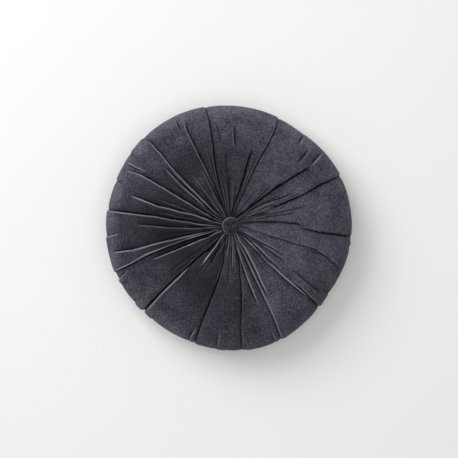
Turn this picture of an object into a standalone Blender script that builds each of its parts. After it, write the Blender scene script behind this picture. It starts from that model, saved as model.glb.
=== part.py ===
"""Round tufted floor cushion, in metres, +Z up, origin under its middle on the floor.

A velvet tube is gathered round its two open ends and pulled together over a fibre-filled
insert. A covered button closes each gathered end, and one twine links the two buttons
through the filling, which draws both faces in.
"""

import math

import bmesh
import bpy
from mathutils import Vector

# Overall sizes
CUSHION_DIAMETER = 0.400
CUSHION_HEIGHT = 0.110
WIDEST_HEIGHT = 0.052  # where the side stands furthest out
CROWN_RADIUS = 0.105  # ring where the top is highest
REST_OUTER_RADIUS = 0.130  # flat ring that meets the floor
REST_INNER_RADIUS = 0.080
SHOULDER_POWER = 2.25  # 2 is an ellipse, more is squarer

# Tufting: how far each face is drawn in at its button
TOP_TUFT_DEPTH = 0.030
UNDER_TUFT_DEPTH = 0.022

# Velvet tube and its pleats
VELVET_THICKNESS = 0.0011
PLEAT_COUNT = 16
FACETS_PER_PLEAT = 3  # two along the crest and one in the valley
BUTTON_EDGE_RISE = 0.0015  # height of a pleat over the valleys beside it
FLANK_RISE = 0.0040
CROWN_RISE = 0.0024
RIM_RISE = 0.0010
UNDER_FLANK_RISE = 0.0020
GATHER_RADIUS = 0.0070  # inside of the gathered neck
NECK_LENGTH = 0.0080

# Insert: two round panels of non-woven cloth round a fibre filling
CASING_THICKNESS = 0.0006
SEAM_ALLOWANCE = 0.0080
TWINE_HOLE_RADIUS = 0.0032
FILLING_CHANNEL_RADIUS = 0.0055
INSERT_FACETS = 24

# Threads and twine
SEWING_THREAD_DIAMETER = 0.00035
GATHERING_THREAD_DIAMETER = 0.0010
TWINE_DIAMETER = 0.0016
KNOT_TURNS = 3

# Covered button, size 45
BUTTON_DIAMETER = 0.0286
BUTTON_HEIGHT = 0.0085
BUTTON_SIDE_HEIGHT = 0.0030  # where the dome starts
DOME_POWER = 2.3
CAP_THICKNESS = 0.0005
HEM_HEIGHT = 0.0027  # how far the cloth is turned up inside the cap
BACK_PLATE_THICKNESS = 0.0005
BACK_PLATE_HEIGHT = 0.0008
EYE_WIRE_DIAMETER = 0.0012
EYE_HALF_WIDTH = 0.0024
EYE_DROP = 0.0059  # from the button's foot to the lowest point of the wire's middle
EYE_FOOT_REACH = 0.0070
BUTTON_FACETS = 20

GAP = 0.0003  # between pieces that touch

# Sizes that follow from those above
BUTTON_RADIUS = BUTTON_DIAMETER / 2
FACETS = PLEAT_COUNT * FACETS_PER_PLEAT
TOP_SEAT = CUSHION_HEIGHT - TOP_TUFT_DEPTH
UNDER_SEAT = UNDER_TUFT_DEPTH
SEAM_ROOM = SEWING_THREAD_DIAMETER + 2 * GAP  # between cover and insert, above and below
SIDE_ROOM = 2 * SEWING_THREAD_DIAMETER + 3 * GAP  # two threads cross at the widest ring
SEAM_FACET = FACETS_PER_PLEAT * (PLEAT_COUNT // 4) + FACETS_PER_PLEAT - 1  # a valley, at the back


def superellipse(power, share):
    """Point (across, up) of a quarter superellipse, from (0, 1) at 0 to (1, 0) at 1."""
    angle = share * math.pi / 2
    return math.sin(angle) ** (2 / power), math.cos(angle) ** (2 / power)


def flank(start, end, steps):
    """Slope of a tufted face, from the button's edge out to the level ring."""
    points = []
    for step in range(steps + 1):
        share = step / steps
        lift = math.sin(share * math.pi / 2)
        radius = start[0] + (end[0] - start[0]) * share
        points.append((radius, start[1] + (end[1] - start[1]) * lift))
    return points


def shoulder(level, widest, steps):
    """Rounded side between a level ring and the widest ring."""
    points = []
    for step in range(steps + 1):
        across, up = superellipse(SHOULDER_POWER, step / steps)
        radius = level[0] + (widest[0] - level[0]) * across
        points.append((radius, widest[1] + (level[1] - widest[1]) * up))
    return points


def outward_at(line, index):
    """Direction out of the line at a point, and how far it leans from the next edge's own."""
    before, here, after = (Vector(line[min(max(n, 0), len(line) - 1)]) for n in (index - 1, index, index + 1))
    normals = []
    for step in (here - before, after - here):
        if step.length > 0:
            normals.append(Vector((-step.y, step.x)).normalized())
    middle = sum(normals, Vector((0, 0))).normalized()
    return middle, middle.dot(normals[0])


def evenly_offset(line, distance):
    """The line moved inwards so that each of its edges moves by the distance."""
    moved = []
    for index, (radius, height) in enumerate(line):
        outward, lean = outward_at(line, index)
        moved.append((radius - outward.x * distance / lean, height - outward.y * distance / lean))
    return moved


def raised(line, rises):
    """The line with each point moved outwards by its own rise."""
    moved = []
    for index, (radius, height) in enumerate(line):
        outward, _ = outward_at(line, index)
        moved.append((radius + outward.x * rises[index], height + outward.y * rises[index]))
    return moved


# Cover


def cover_line():
    """The cover's outer meridian along a valley, with the height of a pleat at each point."""
    crown = (CROWN_RADIUS, CUSHION_HEIGHT - CROWN_RISE)
    widest = (CUSHION_DIAMETER / 2 - RIM_RISE, WIDEST_HEIGHT)
    top = flank((BUTTON_RADIUS, TOP_SEAT), crown, 4)
    upper = shoulder(crown, widest, 4)[1:]
    lower = shoulder((REST_OUTER_RADIUS, 0), widest, 4)[-2::-1]
    under = flank((BUTTON_RADIUS, UNDER_SEAT), (REST_INNER_RADIUS, 0), 3)[::-1]
    points = [(GATHER_RADIUS, TOP_SEAT - NECK_LENGTH), (GATHER_RADIUS, TOP_SEAT)]
    points += top + upper + lower + under
    points += [(GATHER_RADIUS, UNDER_SEAT), (GATHER_RADIUS, UNDER_SEAT + NECK_LENGTH)]

    rises = [0, 0, BUTTON_EDGE_RISE]
    rises += [FLANK_RISE] * (len(top) - 2)
    rises += [CROWN_RISE]
    rises += [CROWN_RISE + (RIM_RISE - CROWN_RISE) * n / len(upper) for n in range(1, len(upper) + 1)]
    rises += [RIM_RISE * (1 - n / len(lower)) for n in range(1, len(lower) + 1)]
    rises += [0] + [UNDER_FLANK_RISE] * (len(under) - 2)
    rises += [BUTTON_EDGE_RISE, 0, 0]
    return points, rises


def velvet_cover():
    valley, rises = cover_line()
    crest = raised(valley, rises)

    def closed_line(outer):
        return outer + evenly_offset(outer, VELVET_THICKNESS)[::-1]

    valley_loop = closed_line(valley)
    crest_loop = closed_line(crest)

    def loop_at(facet):
        in_valley = facet % FACETS_PER_PLEAT == FACETS_PER_PLEAT - 1
        return valley_loop if in_valley else crest_loop

    return turned(loop_at, FACETS)


def cover_seam_thread():
    """Stitches that close the tube, along one valley on the inside of the velvet."""
    valley, _ = cover_line()
    inside = VELVET_THICKNESS + GAP + SEWING_THREAD_DIAMETER / 2
    path = evenly_offset(valley, inside)[3:-3]
    return thread_along([at_facet(point, SEAM_FACET) for point in path], SEWING_THREAD_DIAMETER)


def at_facet(point, facet):
    angle = 2 * math.pi * facet / FACETS
    return Vector((point[0] * math.cos(angle), point[0] * math.sin(angle), point[1]))


# Insert


def insert_lines():
    """Outer meridians of the insert's top and bottom panels, each from its hole to the seam."""
    cloth = VELVET_THICKNESS
    widest = CUSHION_DIAMETER / 2 - RIM_RISE - cloth - SIDE_ROOM
    crown = CUSHION_HEIGHT - CROWN_RISE - cloth - SEAM_ROOM
    base = cloth + SEAM_ROOM
    neck = GATHER_RADIUS + cloth + GATHERING_THREAD_DIAMETER + 2 * GAP
    top_middle = TOP_SEAT - NECK_LENGTH - GAP
    under_middle = UNDER_SEAT + NECK_LENGTH + GAP

    top = [(TWINE_HOLE_RADIUS, top_middle)]
    top += flank((neck, top_middle), (CROWN_RADIUS, crown), 4)
    top += shoulder((CROWN_RADIUS, crown), (widest, WIDEST_HEIGHT + GAP / 2), 4)[1:]
    under = [(TWINE_HOLE_RADIUS, under_middle)]
    under += flank((neck, under_middle), (REST_INNER_RADIUS, base), 3)
    under += shoulder((REST_OUTER_RADIUS, base), (widest, WIDEST_HEIGHT - GAP / 2), 4)
    return top, under


def inner_panel_line(outer, upwards):
    """Inside of a panel, ending on the seam allowance that is turned in at the widest ring."""
    inner = evenly_offset(outer, CASING_THICKNESS * upwards)
    inner[-1] = (inner[-1][0], outer[-1][1] + CASING_THICKNESS * upwards)
    return inner


def insert_panel(outer, upwards):
    inner = inner_panel_line(outer, upwards)
    hem = outer[-1][0] - SEAM_ALLOWANCE
    loop = outer + [(hem, outer[-1][1]), (hem, inner[-1][1])] + inner[::-1]
    return turned(lambda facet: loop, INSERT_FACETS)


def fibre_filling():
    """Filling with a channel for the twine and a groove where the seam allowances lie."""
    top, under = insert_lines()
    line = []
    for outer, upwards in ((top, 1), (under, -1)):
        inside = evenly_offset(inner_panel_line(outer, upwards), GAP * upwards)
        inside[0] = (FILLING_CHANNEL_RADIUS, inside[0][1])
        lip = outer[-1][1] + (CASING_THICKNESS + GAP) * upwards
        inside[-1] = (inside[-1][0], lip)
        inside.append((outer[-1][0] - SEAM_ALLOWANCE - GAP, lip))
        line += inside[::upwards]
    return turned(lambda facet: line, INSERT_FACETS)


def insert_seam_thread():
    top, _ = insert_lines()
    return ring(top[-1][0] + GAP + SEWING_THREAD_DIAMETER / 2, SEWING_THREAD_DIAMETER, INSERT_FACETS)


# Covered button, standing on z = 0 with its dome up


def dome_layer(depth):
    """Dome of the button at a depth under its face, from its middle out to its side."""
    steps = 5
    face = []
    for step in range(steps + 1):
        across, up = superellipse(DOME_POWER, step / steps)
        rise = (BUTTON_HEIGHT - BUTTON_SIDE_HEIGHT) * up
        face.append((BUTTON_RADIUS * across, BUTTON_SIDE_HEIGHT + rise))
    layer = evenly_offset(face, depth)
    layer[0] = (0, BUTTON_HEIGHT - depth)
    layer[-1] = (BUTTON_RADIUS - depth, BUTTON_SIDE_HEIGHT)
    return layer


def button_sizes():
    """Radii that the layers of the button share, from the outside in."""
    cap = BUTTON_RADIUS - VELVET_THICKNESS - GAP
    hem = cap - CAP_THICKNESS - GAP
    return cap, hem, hem - VELVET_THICKNESS - GAP


def button_velvet():
    _, hem, _ = button_sizes()
    cloth = VELVET_THICKNESS
    outside = dome_layer(0)
    outside += [(BUTTON_RADIUS, cloth), (BUTTON_RADIUS - cloth, 0), (hem - cloth, 0)]
    turned_up = [(hem - cloth, HEM_HEIGHT), (hem, HEM_HEIGHT), (hem, cloth)]
    inside = [(BUTTON_RADIUS - cloth, cloth)] + dome_layer(cloth)[::-1]
    loop = outside + turned_up + inside
    return turned(lambda facet: loop, BUTTON_FACETS)


def button_cap():
    radius, _, _ = button_sizes()
    outer_depth = VELVET_THICKNESS + GAP
    foot = VELVET_THICKNESS + GAP
    loop = dome_layer(outer_depth) + [(radius, foot), (radius - CAP_THICKNESS, foot)]
    loop += dome_layer(outer_depth + CAP_THICKNESS)[::-1]
    return turned(lambda facet: loop, BUTTON_FACETS)


def button_back_plate():
    _, _, radius = button_sizes()
    hole = EYE_HALF_WIDTH + EYE_WIRE_DIAMETER / 2 + GAP
    low, high = BACK_PLATE_HEIGHT, BACK_PLATE_HEIGHT + BACK_PLATE_THICKNESS
    loop = [(hole, high), (radius, high), (radius, low), (hole, low)]
    return turned(lambda facet: loop, BUTTON_FACETS)


def button_eye():
    """Wire loop that hangs through the back plate, held by its two bent feet."""
    foot = BACK_PLATE_HEIGHT + BACK_PLATE_THICKNESS + GAP + EYE_WIRE_DIAMETER / 2
    bend = EYE_WIRE_DIAMETER
    half = [(EYE_FOOT_REACH, foot), (EYE_HALF_WIDTH + bend, foot)]
    half += [(EYE_HALF_WIDTH + bend * 0.3, foot - bend * 0.3), (EYE_HALF_WIDTH, foot - bend)]
    arc_height = EYE_HALF_WIDTH - EYE_DROP
    steps = 6
    arc = []
    for step in range(steps + 1):
        angle = math.pi * step / steps
        arc.append((EYE_HALF_WIDTH * math.cos(angle), arc_height - EYE_HALF_WIDTH * math.sin(angle)))
    path = half + arc + [(-x, z) for x, z in half[::-1]]
    return thread_along([Vector((x, 0, z)) for x, z in path], EYE_WIRE_DIAMETER)


# Twine


def eye_wire_heights():
    """Heights of the two wires that the twine pulls on: the upper one and the lower one."""
    foot = BUTTON_EDGE_RISE + GAP
    return TOP_SEAT + foot - EYE_DROP, UNDER_SEAT - foot + EYE_DROP


def twine_half_width():
    return EYE_WIRE_DIAMETER / 2 + TWINE_DIAMETER / 2 + GAP


def tufting_twine():
    """Closed loop of twine round both eyes."""
    high, low = eye_wire_heights()
    half = twine_half_width()
    steps = 6
    path = []
    for middle, start in ((high, 0), (low, math.pi)):
        for step in range(steps + 1):
            angle = start + math.pi * step / steps
            path.append(Vector((0, half * math.cos(angle), middle + half * math.sin(angle))))
    return thread_along(path, TWINE_DIAMETER, cyclic=True)


def twine_knot():
    """Hitch of a few turns round both strands, above the lower button."""
    room = TWINE_DIAMETER + GAP
    across_x = 1.15 * room
    across_y = twine_half_width() + room
    pitch = room
    steps = 12
    _, low = eye_wire_heights()
    start = low + NECK_LENGTH
    path = []
    for step in range(KNOT_TURNS * steps + 1):
        angle = 2 * math.pi * step / steps
        height = start + pitch * step / steps
        path.append(Vector((across_x * math.cos(angle), across_y * math.sin(angle), height)))
    return thread_along(path, TWINE_DIAMETER)


def gathering_thread():
    """Thread drawn tight round the gathered neck."""
    middle = GATHER_RADIUS + VELVET_THICKNESS + GAP + GATHERING_THREAD_DIAMETER / 2
    return ring(middle, GATHERING_THREAD_DIAMETER, BUTTON_FACETS)


# Meshes and objects


def turned(loop_at, facets):
    """Closed profile carried round +Z; the profile may differ from one facet to the next."""
    mesh = bmesh.new()
    rows = []
    for facet in range(facets):
        angle = 2 * math.pi * facet / facets
        cos, sin = math.cos(angle), math.sin(angle)
        rows.append([mesh.verts.new((r * cos, r * sin, z)) for r, z in loop_at(facet)])
    for row, following in zip(rows, rows[1:] + rows[:1]):
        for index in range(len(row)):
            before = index - 1
            if row[index].co.xy.length + row[before].co.xy.length > 0:
                mesh.faces.new((row[before], row[index], following[index], following[before]))
    bmesh.ops.remove_doubles(mesh, verts=mesh.verts, dist=1e-6)
    return finished(mesh)


def finished(mesh):
    bmesh.ops.recalc_face_normals(mesh, faces=mesh.faces)
    data = bpy.data.meshes.new("shape")
    mesh.to_mesh(data)
    mesh.free()
    data.shade_smooth()
    data.set_sharp_from_angle(angle=math.radians(40))
    return data


def ring(radius, thickness, facets):
    """Thin ring round +Z at height 0."""
    sides = 6
    loop = []
    for side in range(sides):
        angle = -2 * math.pi * side / sides
        loop.append((radius + thickness / 2 * math.cos(angle), thickness / 2 * math.sin(angle)))
    return turned(lambda facet: loop, facets)


def thread_along(path, thickness, cyclic=False):
    """Round thread or wire along a path."""
    curve = bpy.data.curves.new("path", "CURVE")
    curve.dimensions = "3D"
    curve.bevel_depth = thickness / 2
    curve.bevel_resolution = 1 if thickness < TWINE_DIAMETER else 2
    curve.use_fill_caps = not cyclic
    spline = curve.splines.new("POLY")
    spline.points.add(len(path) - 1)
    for point, place in zip(spline.points, path):
        point.co = (*place, 1)
    spline.use_cyclic_u = cyclic
    return curve


def material(name, colour, roughness, metallic=0.0):
    made = bpy.data.materials.new(name)
    made.use_nodes = True
    shader = made.node_tree.nodes["Principled BSDF"]
    shader.inputs["Base Color"].default_value = (*colour, 1)
    shader.inputs["Roughness"].default_value = roughness
    shader.inputs["Metallic"].default_value = metallic
    return made


def empty(name, height):
    made = bpy.data.objects.new(name, None)
    made.location.z = height
    bpy.context.scene.collection.objects.link(made)
    return made


def place(name, data, finish, parent=None, height=0.0, turn=(0, 0, 0)):
    made = bpy.data.objects.new(name, data)
    made.data.materials.append(finish)
    made.location.z = height
    made.rotation_euler = turn
    made.parent = parent
    bpy.context.scene.collection.objects.link(made)
    return made


def add_tuft(side, seat, turn, finishes):
    """Button, its eye and the thread that gathers the velvet under it."""
    tuft = empty(f"{side}_tuft", seat)
    tuft.rotation_euler = turn
    foot = BUTTON_EDGE_RISE + GAP
    place(f"{side}_button_velvet", button_velvet(), finishes["velvet"], tuft, foot)
    place(f"{side}_button_cap", button_cap(), finishes["steel"], tuft, foot)
    place(f"{side}_button_back_plate", button_back_plate(), finishes["steel"], tuft, foot)
    place(f"{side}_button_eye", button_eye(), finishes["steel"], tuft, foot)
    place(f"{side}_gathering_thread", gathering_thread(), finishes["thread"], tuft, -0.6 * NECK_LENGTH)


def main():
    for old in list(bpy.data.objects):
        bpy.data.objects.remove(old)

    velvet = material("charcoal_velvet", (0.042, 0.042, 0.055), 0.95)
    thread = material("charcoal_thread", (0.030, 0.030, 0.038), 0.7)
    casing = material("white_non_woven", (0.75, 0.75, 0.72), 0.9)
    fibre = material("white_fibre", (0.85, 0.85, 0.83), 1.0)
    steel = material("zinc_plated_steel", (0.60, 0.60, 0.62), 0.35, 1.0)
    twine = material("waxed_twine", (0.62, 0.58, 0.48), 0.6)

    place("velvet_cover", velvet_cover(), velvet)
    place("cover_seam_thread", cover_seam_thread(), thread)

    top, under = insert_lines()
    place("insert_top_panel", insert_panel(top, 1), casing)
    place("insert_bottom_panel", insert_panel(under, -1), casing)
    place("insert_seam_thread", insert_seam_thread(), thread, height=WIDEST_HEIGHT)
    place("fibre_filling", fibre_filling(), fibre)

    finishes = {"velvet": velvet, "steel": steel, "thread": thread}
    add_tuft("top", TOP_SEAT, (0, 0, 0), finishes)
    add_tuft("bottom", UNDER_SEAT, (math.pi, 0, 0), finishes)
    place("tufting_twine", tufting_twine(), twine)
    place("twine_knot", twine_knot(), twine)


main()
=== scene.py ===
import math

import bpy
import numpy as np
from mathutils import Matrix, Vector


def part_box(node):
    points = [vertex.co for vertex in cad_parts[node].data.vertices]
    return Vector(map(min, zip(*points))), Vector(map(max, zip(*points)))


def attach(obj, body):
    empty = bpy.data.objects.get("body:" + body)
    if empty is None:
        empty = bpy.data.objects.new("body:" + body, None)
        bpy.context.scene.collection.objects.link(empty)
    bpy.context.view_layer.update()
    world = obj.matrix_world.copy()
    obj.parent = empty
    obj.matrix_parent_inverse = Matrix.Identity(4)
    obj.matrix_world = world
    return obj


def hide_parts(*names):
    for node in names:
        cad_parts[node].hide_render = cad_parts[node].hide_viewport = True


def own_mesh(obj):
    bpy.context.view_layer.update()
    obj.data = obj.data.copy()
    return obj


# Round tufted floor cushion in charcoal velvet, dressed over its CAD frame, in metres.
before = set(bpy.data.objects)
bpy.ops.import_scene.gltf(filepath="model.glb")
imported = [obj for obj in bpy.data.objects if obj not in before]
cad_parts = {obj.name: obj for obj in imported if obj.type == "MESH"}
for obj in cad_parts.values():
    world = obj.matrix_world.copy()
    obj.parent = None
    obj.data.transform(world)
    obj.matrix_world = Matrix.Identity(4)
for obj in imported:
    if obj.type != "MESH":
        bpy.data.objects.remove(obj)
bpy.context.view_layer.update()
coverLow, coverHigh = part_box("velvet_cover")
buttonLow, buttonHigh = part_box("top_button_velvet")
underButtonLow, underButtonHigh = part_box("bottom_button_velvet")
cushionRadius = (coverHigh[0] - coverLow[0]) / 2
buttonRadius = (buttonHigh[0] - buttonLow[0]) / 2
surfaceInset = 0.0015  # the plain form lies this far inside the CAD cover, and the folds stand on it
rimRadius = cushionRadius - surfaceInset
buttonGap = 0.0016  # between a button and the cloth beneath it
print("frame loaded")


def toLinear(hexText):
    values = [int(hexText[n : n + 2], 16) / 255 for n in (0, 2, 4)]
    return [v / 12.92 if v <= 0.04045 else ((v + 0.055) / 1.055) ** 2.4 for v in values] + [1.0]


def addNode(tree, kind, settings=None, links=None):
    # settings are the node's own values or, by socket name or number, its inputs
    node = tree.nodes.new(kind)
    for key, value in (settings or {}).items():
        if isinstance(key, int) or key in node.inputs.keys():
            node.inputs[key].default_value = value
        else:
            setattr(node, key, value)
    for key, socket in (links or {}).items():
        tree.links.new(socket, node.inputs[key])
    return node


def startMaterial(name):
    material = bpy.data.materials.new(name)
    material.use_nodes = True
    tree = material.node_tree
    return material, tree, tree.nodes["Principled BSDF"]


def deselectAll():
    if bpy.context.object and bpy.context.object.mode != "OBJECT":
        bpy.ops.object.mode_set(mode="OBJECT")
    bpy.ops.object.select_all(action="DESELECT")


def namePiece(name, material):
    piece = bpy.context.object
    piece.name = name
    piece.data.name = name
    piece.data.materials.clear()
    piece.data.materials.append(material)
    return piece


def applyModifiers(piece):
    deselectAll()
    piece.select_set(True)
    bpy.context.view_layer.objects.active = piece
    for modifier in list(piece.modifiers):
        bpy.ops.object.modifier_apply(modifier=modifier.name)


def readPoints(piece):
    points = np.empty(len(piece.data.vertices) * 3)
    piece.data.vertices.foreach_get("co", points)
    return points.reshape(-1, 3)


def writePoints(piece, points):
    piece.data.vertices.foreach_set("co", np.ascontiguousarray(points).ravel())
    piece.data.update()


def smoothStep(low, high, value):
    share = np.clip((value - low) / (high - low), 0, 1)
    return share * share * (3 - 2 * share)


# The cushion's plain form. Reach is 0 at the top button, 1 at the rim and 2 at the button underneath.
form = {
    "seatRadius": buttonRadius * 0.8,  # flat middle of each hollow
    "crownRadius": 0.104,
    "crownHeight": coverHigh[2] - surfaceInset,
    "seatHeight": buttonLow[2] - buttonGap,
    "rimHeight": 0.052,
    "restOuter": 0.128,
    "restInner": 0.082,
    "underSeat": underButtonHigh[2] + buttonGap,
    "shoulderPower": 2.2,
    "dishPower": 0.85,  # below 1 the cloth climbs faster beside the button
    "steps": 240,  # points along each of the four stretches of its outline
    "outline": (  # degrees, and mm that the rim stands out there
        (0, -3.0), (20, -3.4), (36, -5.2), (55, -10.4), (73, -6.0), (95, -3.4), (113, 0.8),
        (135, 2.0), (160, 0.9), (178, 3.4), (200, 4.0), (212, 1.0), (230, -1.4), (250, -0.6),
        (268, 2.8), (288, 4.0), (304, -1.2), (325, -7.4), (345, -3.6),
    ),
    "outlineBlur": 6.0,  # degrees
    "leanStart": 0.35,  # reach past which the outline begins to show
}


def meridianPoints():
    # closely spaced points from the middle of the top, over the rim, to the middle underneath
    share = np.linspace(0, 1, form["steps"])
    seat, crown = form["seatRadius"], form["crownRadius"]
    dish = np.sin(share ** form["dishPower"] * math.pi / 2)
    r = [0.0, seat]
    z = [form["seatHeight"]] * 2
    r += list(seat + (crown - seat) * share)
    z += list(form["seatHeight"] + (form["crownHeight"] - form["seatHeight"]) * dish)
    turn = share * math.pi / 2
    across = np.sin(turn) ** (2 / form["shoulderPower"])
    up = np.cos(turn) ** (2 / form["shoulderPower"])
    r += list(crown + (rimRadius - crown) * across)
    z += list(form["rimHeight"] + (form["crownHeight"] - form["rimHeight"]) * up)
    r += list((form["restOuter"] + (rimRadius - form["restOuter"]) * across)[::-1])
    z += list((form["rimHeight"] - form["rimHeight"] * up)[::-1])
    r += list((seat + (form["restInner"] - seat) * share)[::-1])
    z += list((form["underSeat"] * (1 - np.sin(share * math.pi / 2)))[::-1])
    r.append(0.0)
    z.append(form["underSeat"])
    return np.array(r), np.array(z)


def meridianAt(rings):
    # radius, height, outward direction, reach and length along the cloth at each ring
    r, z = meridianPoints()
    length = np.concatenate([[0], np.cumsum(np.hypot(np.diff(r), np.diff(z)))])
    keep = np.concatenate([[True], np.diff(length) > 1e-9])
    r, z, length = r[keep], z[keep], length[keep]
    wanted = np.linspace(0, length[-1], rings + 1)
    ringR, ringZ = np.interp(wanted, length, r), np.interp(wanted, length, z)
    before, after = wanted - 0.002, wanted + 0.002
    stepR = np.interp(after, length, r) - np.interp(before, length, r)
    stepZ = np.interp(after, length, z) - np.interp(before, length, z)
    size = np.hypot(stepR, stepZ)
    outR, outZ = -stepZ / size, stepR / size
    rimLength = length[np.argmax(r)]
    reach = np.where(wanted <= rimLength, ringR / r.max(), 2 - ringR / r.max())
    return ringR, ringZ, outR, outZ, reach, wanted


# Each crease is how many mm deep its crevice is, how many mm the fold beside it stands up, on which
# side that fold lies (1 is anticlockwise), and its line as (degrees, reach) from the button outwards.
creases = (
    (1.6, 0.5, 1, ((14, 0.08), (7.4, 0.27), (2.7, 0.5), (0, 0.6))),
    (1.3, 0.6, 1, ((20, 0.07), (15, 0.2), (11, 0.55))),
    (2.6, 0.8, 1, ((35, 0.1), (27, 0.17), (22, 0.25), (19, 0.36))),
    (4.2, 0.9, 1, ((26, 0.3), (24.3, 0.4), (23.8, 0.6), (25, 0.8), (25, 1.2))),
    (2.4, 0.9, -1, ((40, 0.12), (34, 0.3), (29, 0.44), (26.6, 0.6))),
    (6.0, 1.0, 1, ((66, 0.06), (55, 0.1), (48, 0.18), (43.5, 0.3),
        (41.5, 0.42), (39.5, 0.55), (38, 0.72), (36.6, 0.84))),
    (3.4, 1.7, -1, ((36.9, 0.8), (38, 0.9), (39, 1.0))),
    (3.2, 1.0, -1, ((43, 0.74), (44, 0.84), (45, 0.93))),
    (2.8, 1.0, -1, ((50, 0.86), (51, 0.96), (52, 1.03))),
    (2.8, 0.9, 1, ((77, 0.06), (72, 0.2), (69.3, 0.35), (68, 0.5), (66, 0.7), (65.5, 0.85), (67, 1.1))),
    (4.4, 0.8, 1, ((90, 0.07), (83, 0.18), (78, 0.27), (75.8, 0.42), (75.6, 0.56), (74.3, 0.68))),
    (3.6, 1.0, 1, ((87.3, 0.62), (88, 0.72), (88.8, 0.84))),
    (1.6, 0.5, 1, ((96, 0.07), (94, 0.2), (92.3, 0.42))),
    (1.5, 0.6, 1, ((97, 0.63), (98.5, 0.84))),
    (3.4, 0.8, 1, ((111, 0.07), (106.6, 0.22), (106.5, 0.38), (104.5, 0.52),
        (102.8, 0.66), (102, 0.85), (103, 1.2))),
    (3.4, 1.1, 1, ((115, 0.1), (113, 0.28), (113.8, 0.5), (114.6, 0.7), (114.8, 0.84), (113.5, 0.94))),
    (2.6, 0.9, 1, ((118.4, 0.84), (117.3, 0.98))),
    (6.5, 2.4, 1, ((133.0, 0.87), (134.6, 0.93), (137.4, 1.0))),
    (1.8, 0.8, 1, ((133, 0.2), (131.5, 0.34), (133, 0.44))),
    (2.6, 1.4, 1, ((139, 0.1), (136.4, 0.4), (135.6, 0.6), (134, 0.8), (134, 0.9), (136, 1.12))),
    (2.8, 1.4, 1, ((149, 0.07), (144.5, 0.2), (141, 0.36), (139.8, 0.55), (138.4, 0.7))),
    (2.2, 1.5, -1, ((148.2, 0.78), (149.3, 1.02))),
    (3.4, 1.7, 1, ((157, 0.07), (154, 0.2), (151.3, 0.36), (150.3, 0.6), (150.2, 0.8), (152, 0.96))),
    (4.2, 2.0, 1, ((167, 0.07), (162.7, 0.2), (162.1, 0.3), (163.8, 0.42),
        (164.4, 0.6), (163.3, 0.74), (162.6, 0.84))),
    (4.6, 1.8, 1, ((181.2, 0.08), (176.7, 0.22), (174.4, 0.34), (172.8, 0.6), (172.8, 0.8), (172.6, 1.2))),
    (2.8, 0.9, 1, ((184.2, 0.1), (184.2, 0.24), (181.9, 0.42), (179.8, 0.6), (178.9, 0.75))),
    (3.0, 1.5, 1, ((183.6, 0.86), (186, 1.1))),
    (3.6, 1.7, 1, ((192.7, 0.1), (192.6, 0.25), (192.6, 0.45), (193, 0.62), (193.4, 0.78), (192.2, 0.98))),
    (3.0, 1.9, -1, ((209.2, 0.07), (198.7, 0.15), (197.2, 0.25), (198.3, 0.45),
        (199.2, 0.68), (201, 0.84), (202.4, 1.1))),
    (4.6, 2.0, 1, ((208.2, 0.07), (204.2, 0.14), (203.5, 0.28), (203.3, 0.5), (202.8, 0.68))),
    (4.6, 1.5, 1, ((202.4, 0.87), (204.2, 0.93), (206.5, 1.06))),
    (6.6, 1.6, -1, ((224.2, 0.06), (224.2, 0.2), (222.6, 0.32), (222.5, 0.5),
        (222.4, 0.68), (223, 0.82), (224.2, 1.2))),
    (1.0, 2.1, 1, ((223.6, 0.44), (223.8, 0.6), (224, 0.78), (225, 1.0))),
    (2.0, 2.7, 1, ((227.7, 0.07), (231.2, 0.2), (232.2, 0.4))),
    (5.0, 0.4, -1, ((226, 0.06), (227.4, 0.2), (227, 0.34))),
    (2.4, 1.3, -1, ((228.6, 0.92), (230.4, 1.08))),
    (3.0, 0.5, 1, ((241.2, 0.1), (241.9, 0.38))),
    (2.6, 1.4, 1, ((251, 0.86), (249.6, 0.94), (250.4, 1.04))),
    (3.8, 0.7, 1, ((244.1, 0.07), (255, 0.16), (258.4, 0.3), (257.4, 0.42),
        (255, 0.6), (253.3, 0.8), (252.6, 1.2))),
    (1.8, 0.9, 1, ((263.4, 0.82), (263, 1.06))),
    (1.8, 1.2, 1, ((272, 0.1), (271, 0.2), (271, 0.36))),
    (3.4, 0.7, 1, ((286, 0.12), (284, 0.27), (280.6, 0.4), (278, 0.6), (275.6, 0.8), (275.2, 1.2))),
    (2.2, 1.0, 1, ((277.4, 0.92), (276.8, 1.04))),
    (3.0, 1.5, 1, ((287, 0.14), (286.6, 0.4), (288, 0.56), (289, 0.67))),
    (2.4, 1.2, 1, ((290.8, 0.89), (291, 1.03))),
    (2.6, 1.4, 1, ((296, 0.16), (294.6, 0.4), (294.6, 0.6), (294.8, 0.78), (293.2, 1.2))),
    (2.0, 1.4, 1, ((300, 0.07), (299.4, 0.3), (297.7, 0.52), (297.8, 0.64))),
    (3.6, 3.0, 1, ((318, 0.07), (316, 0.2), (315.2, 0.4), (315.6, 0.6), (316.4, 0.74), (317.2, 0.88))),
    (4.4, 1.6, 1, ((318.4, 0.66), (318.6, 0.76), (318.1, 0.87), (317.8, 0.96), (317, 1.16))),
    (2.0, 1.2, 1, ((325, 0.1), (322.5, 0.24), (320.2, 0.4), (318.8, 0.56))),
    (1.6, 0.9, 1, ((331, 0.14), (328, 0.32), (326.5, 0.56))),
    (2.2, 0.7, -1, ((324, 0.6), (322.4, 0.98))),
    (1.6, 0.6, 1, ((342.9, 0.6), (342.4, 0.88))),
    (1.8, 1.1, 1, ((336, 0.07), (333, 0.2))),
    (2.2, 0.8, 1, ((358.7, 0.07), (349.4, 0.2), (345.4, 0.32), (344.5, 0.5),
        (344.6, 0.7), (340.2, 0.9), (337, 1.02))),
    (2.4, 0.5, 1, ((359, 0.52), (355.8, 0.7), (355, 0.9), (355, 1.2))),
)

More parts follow.
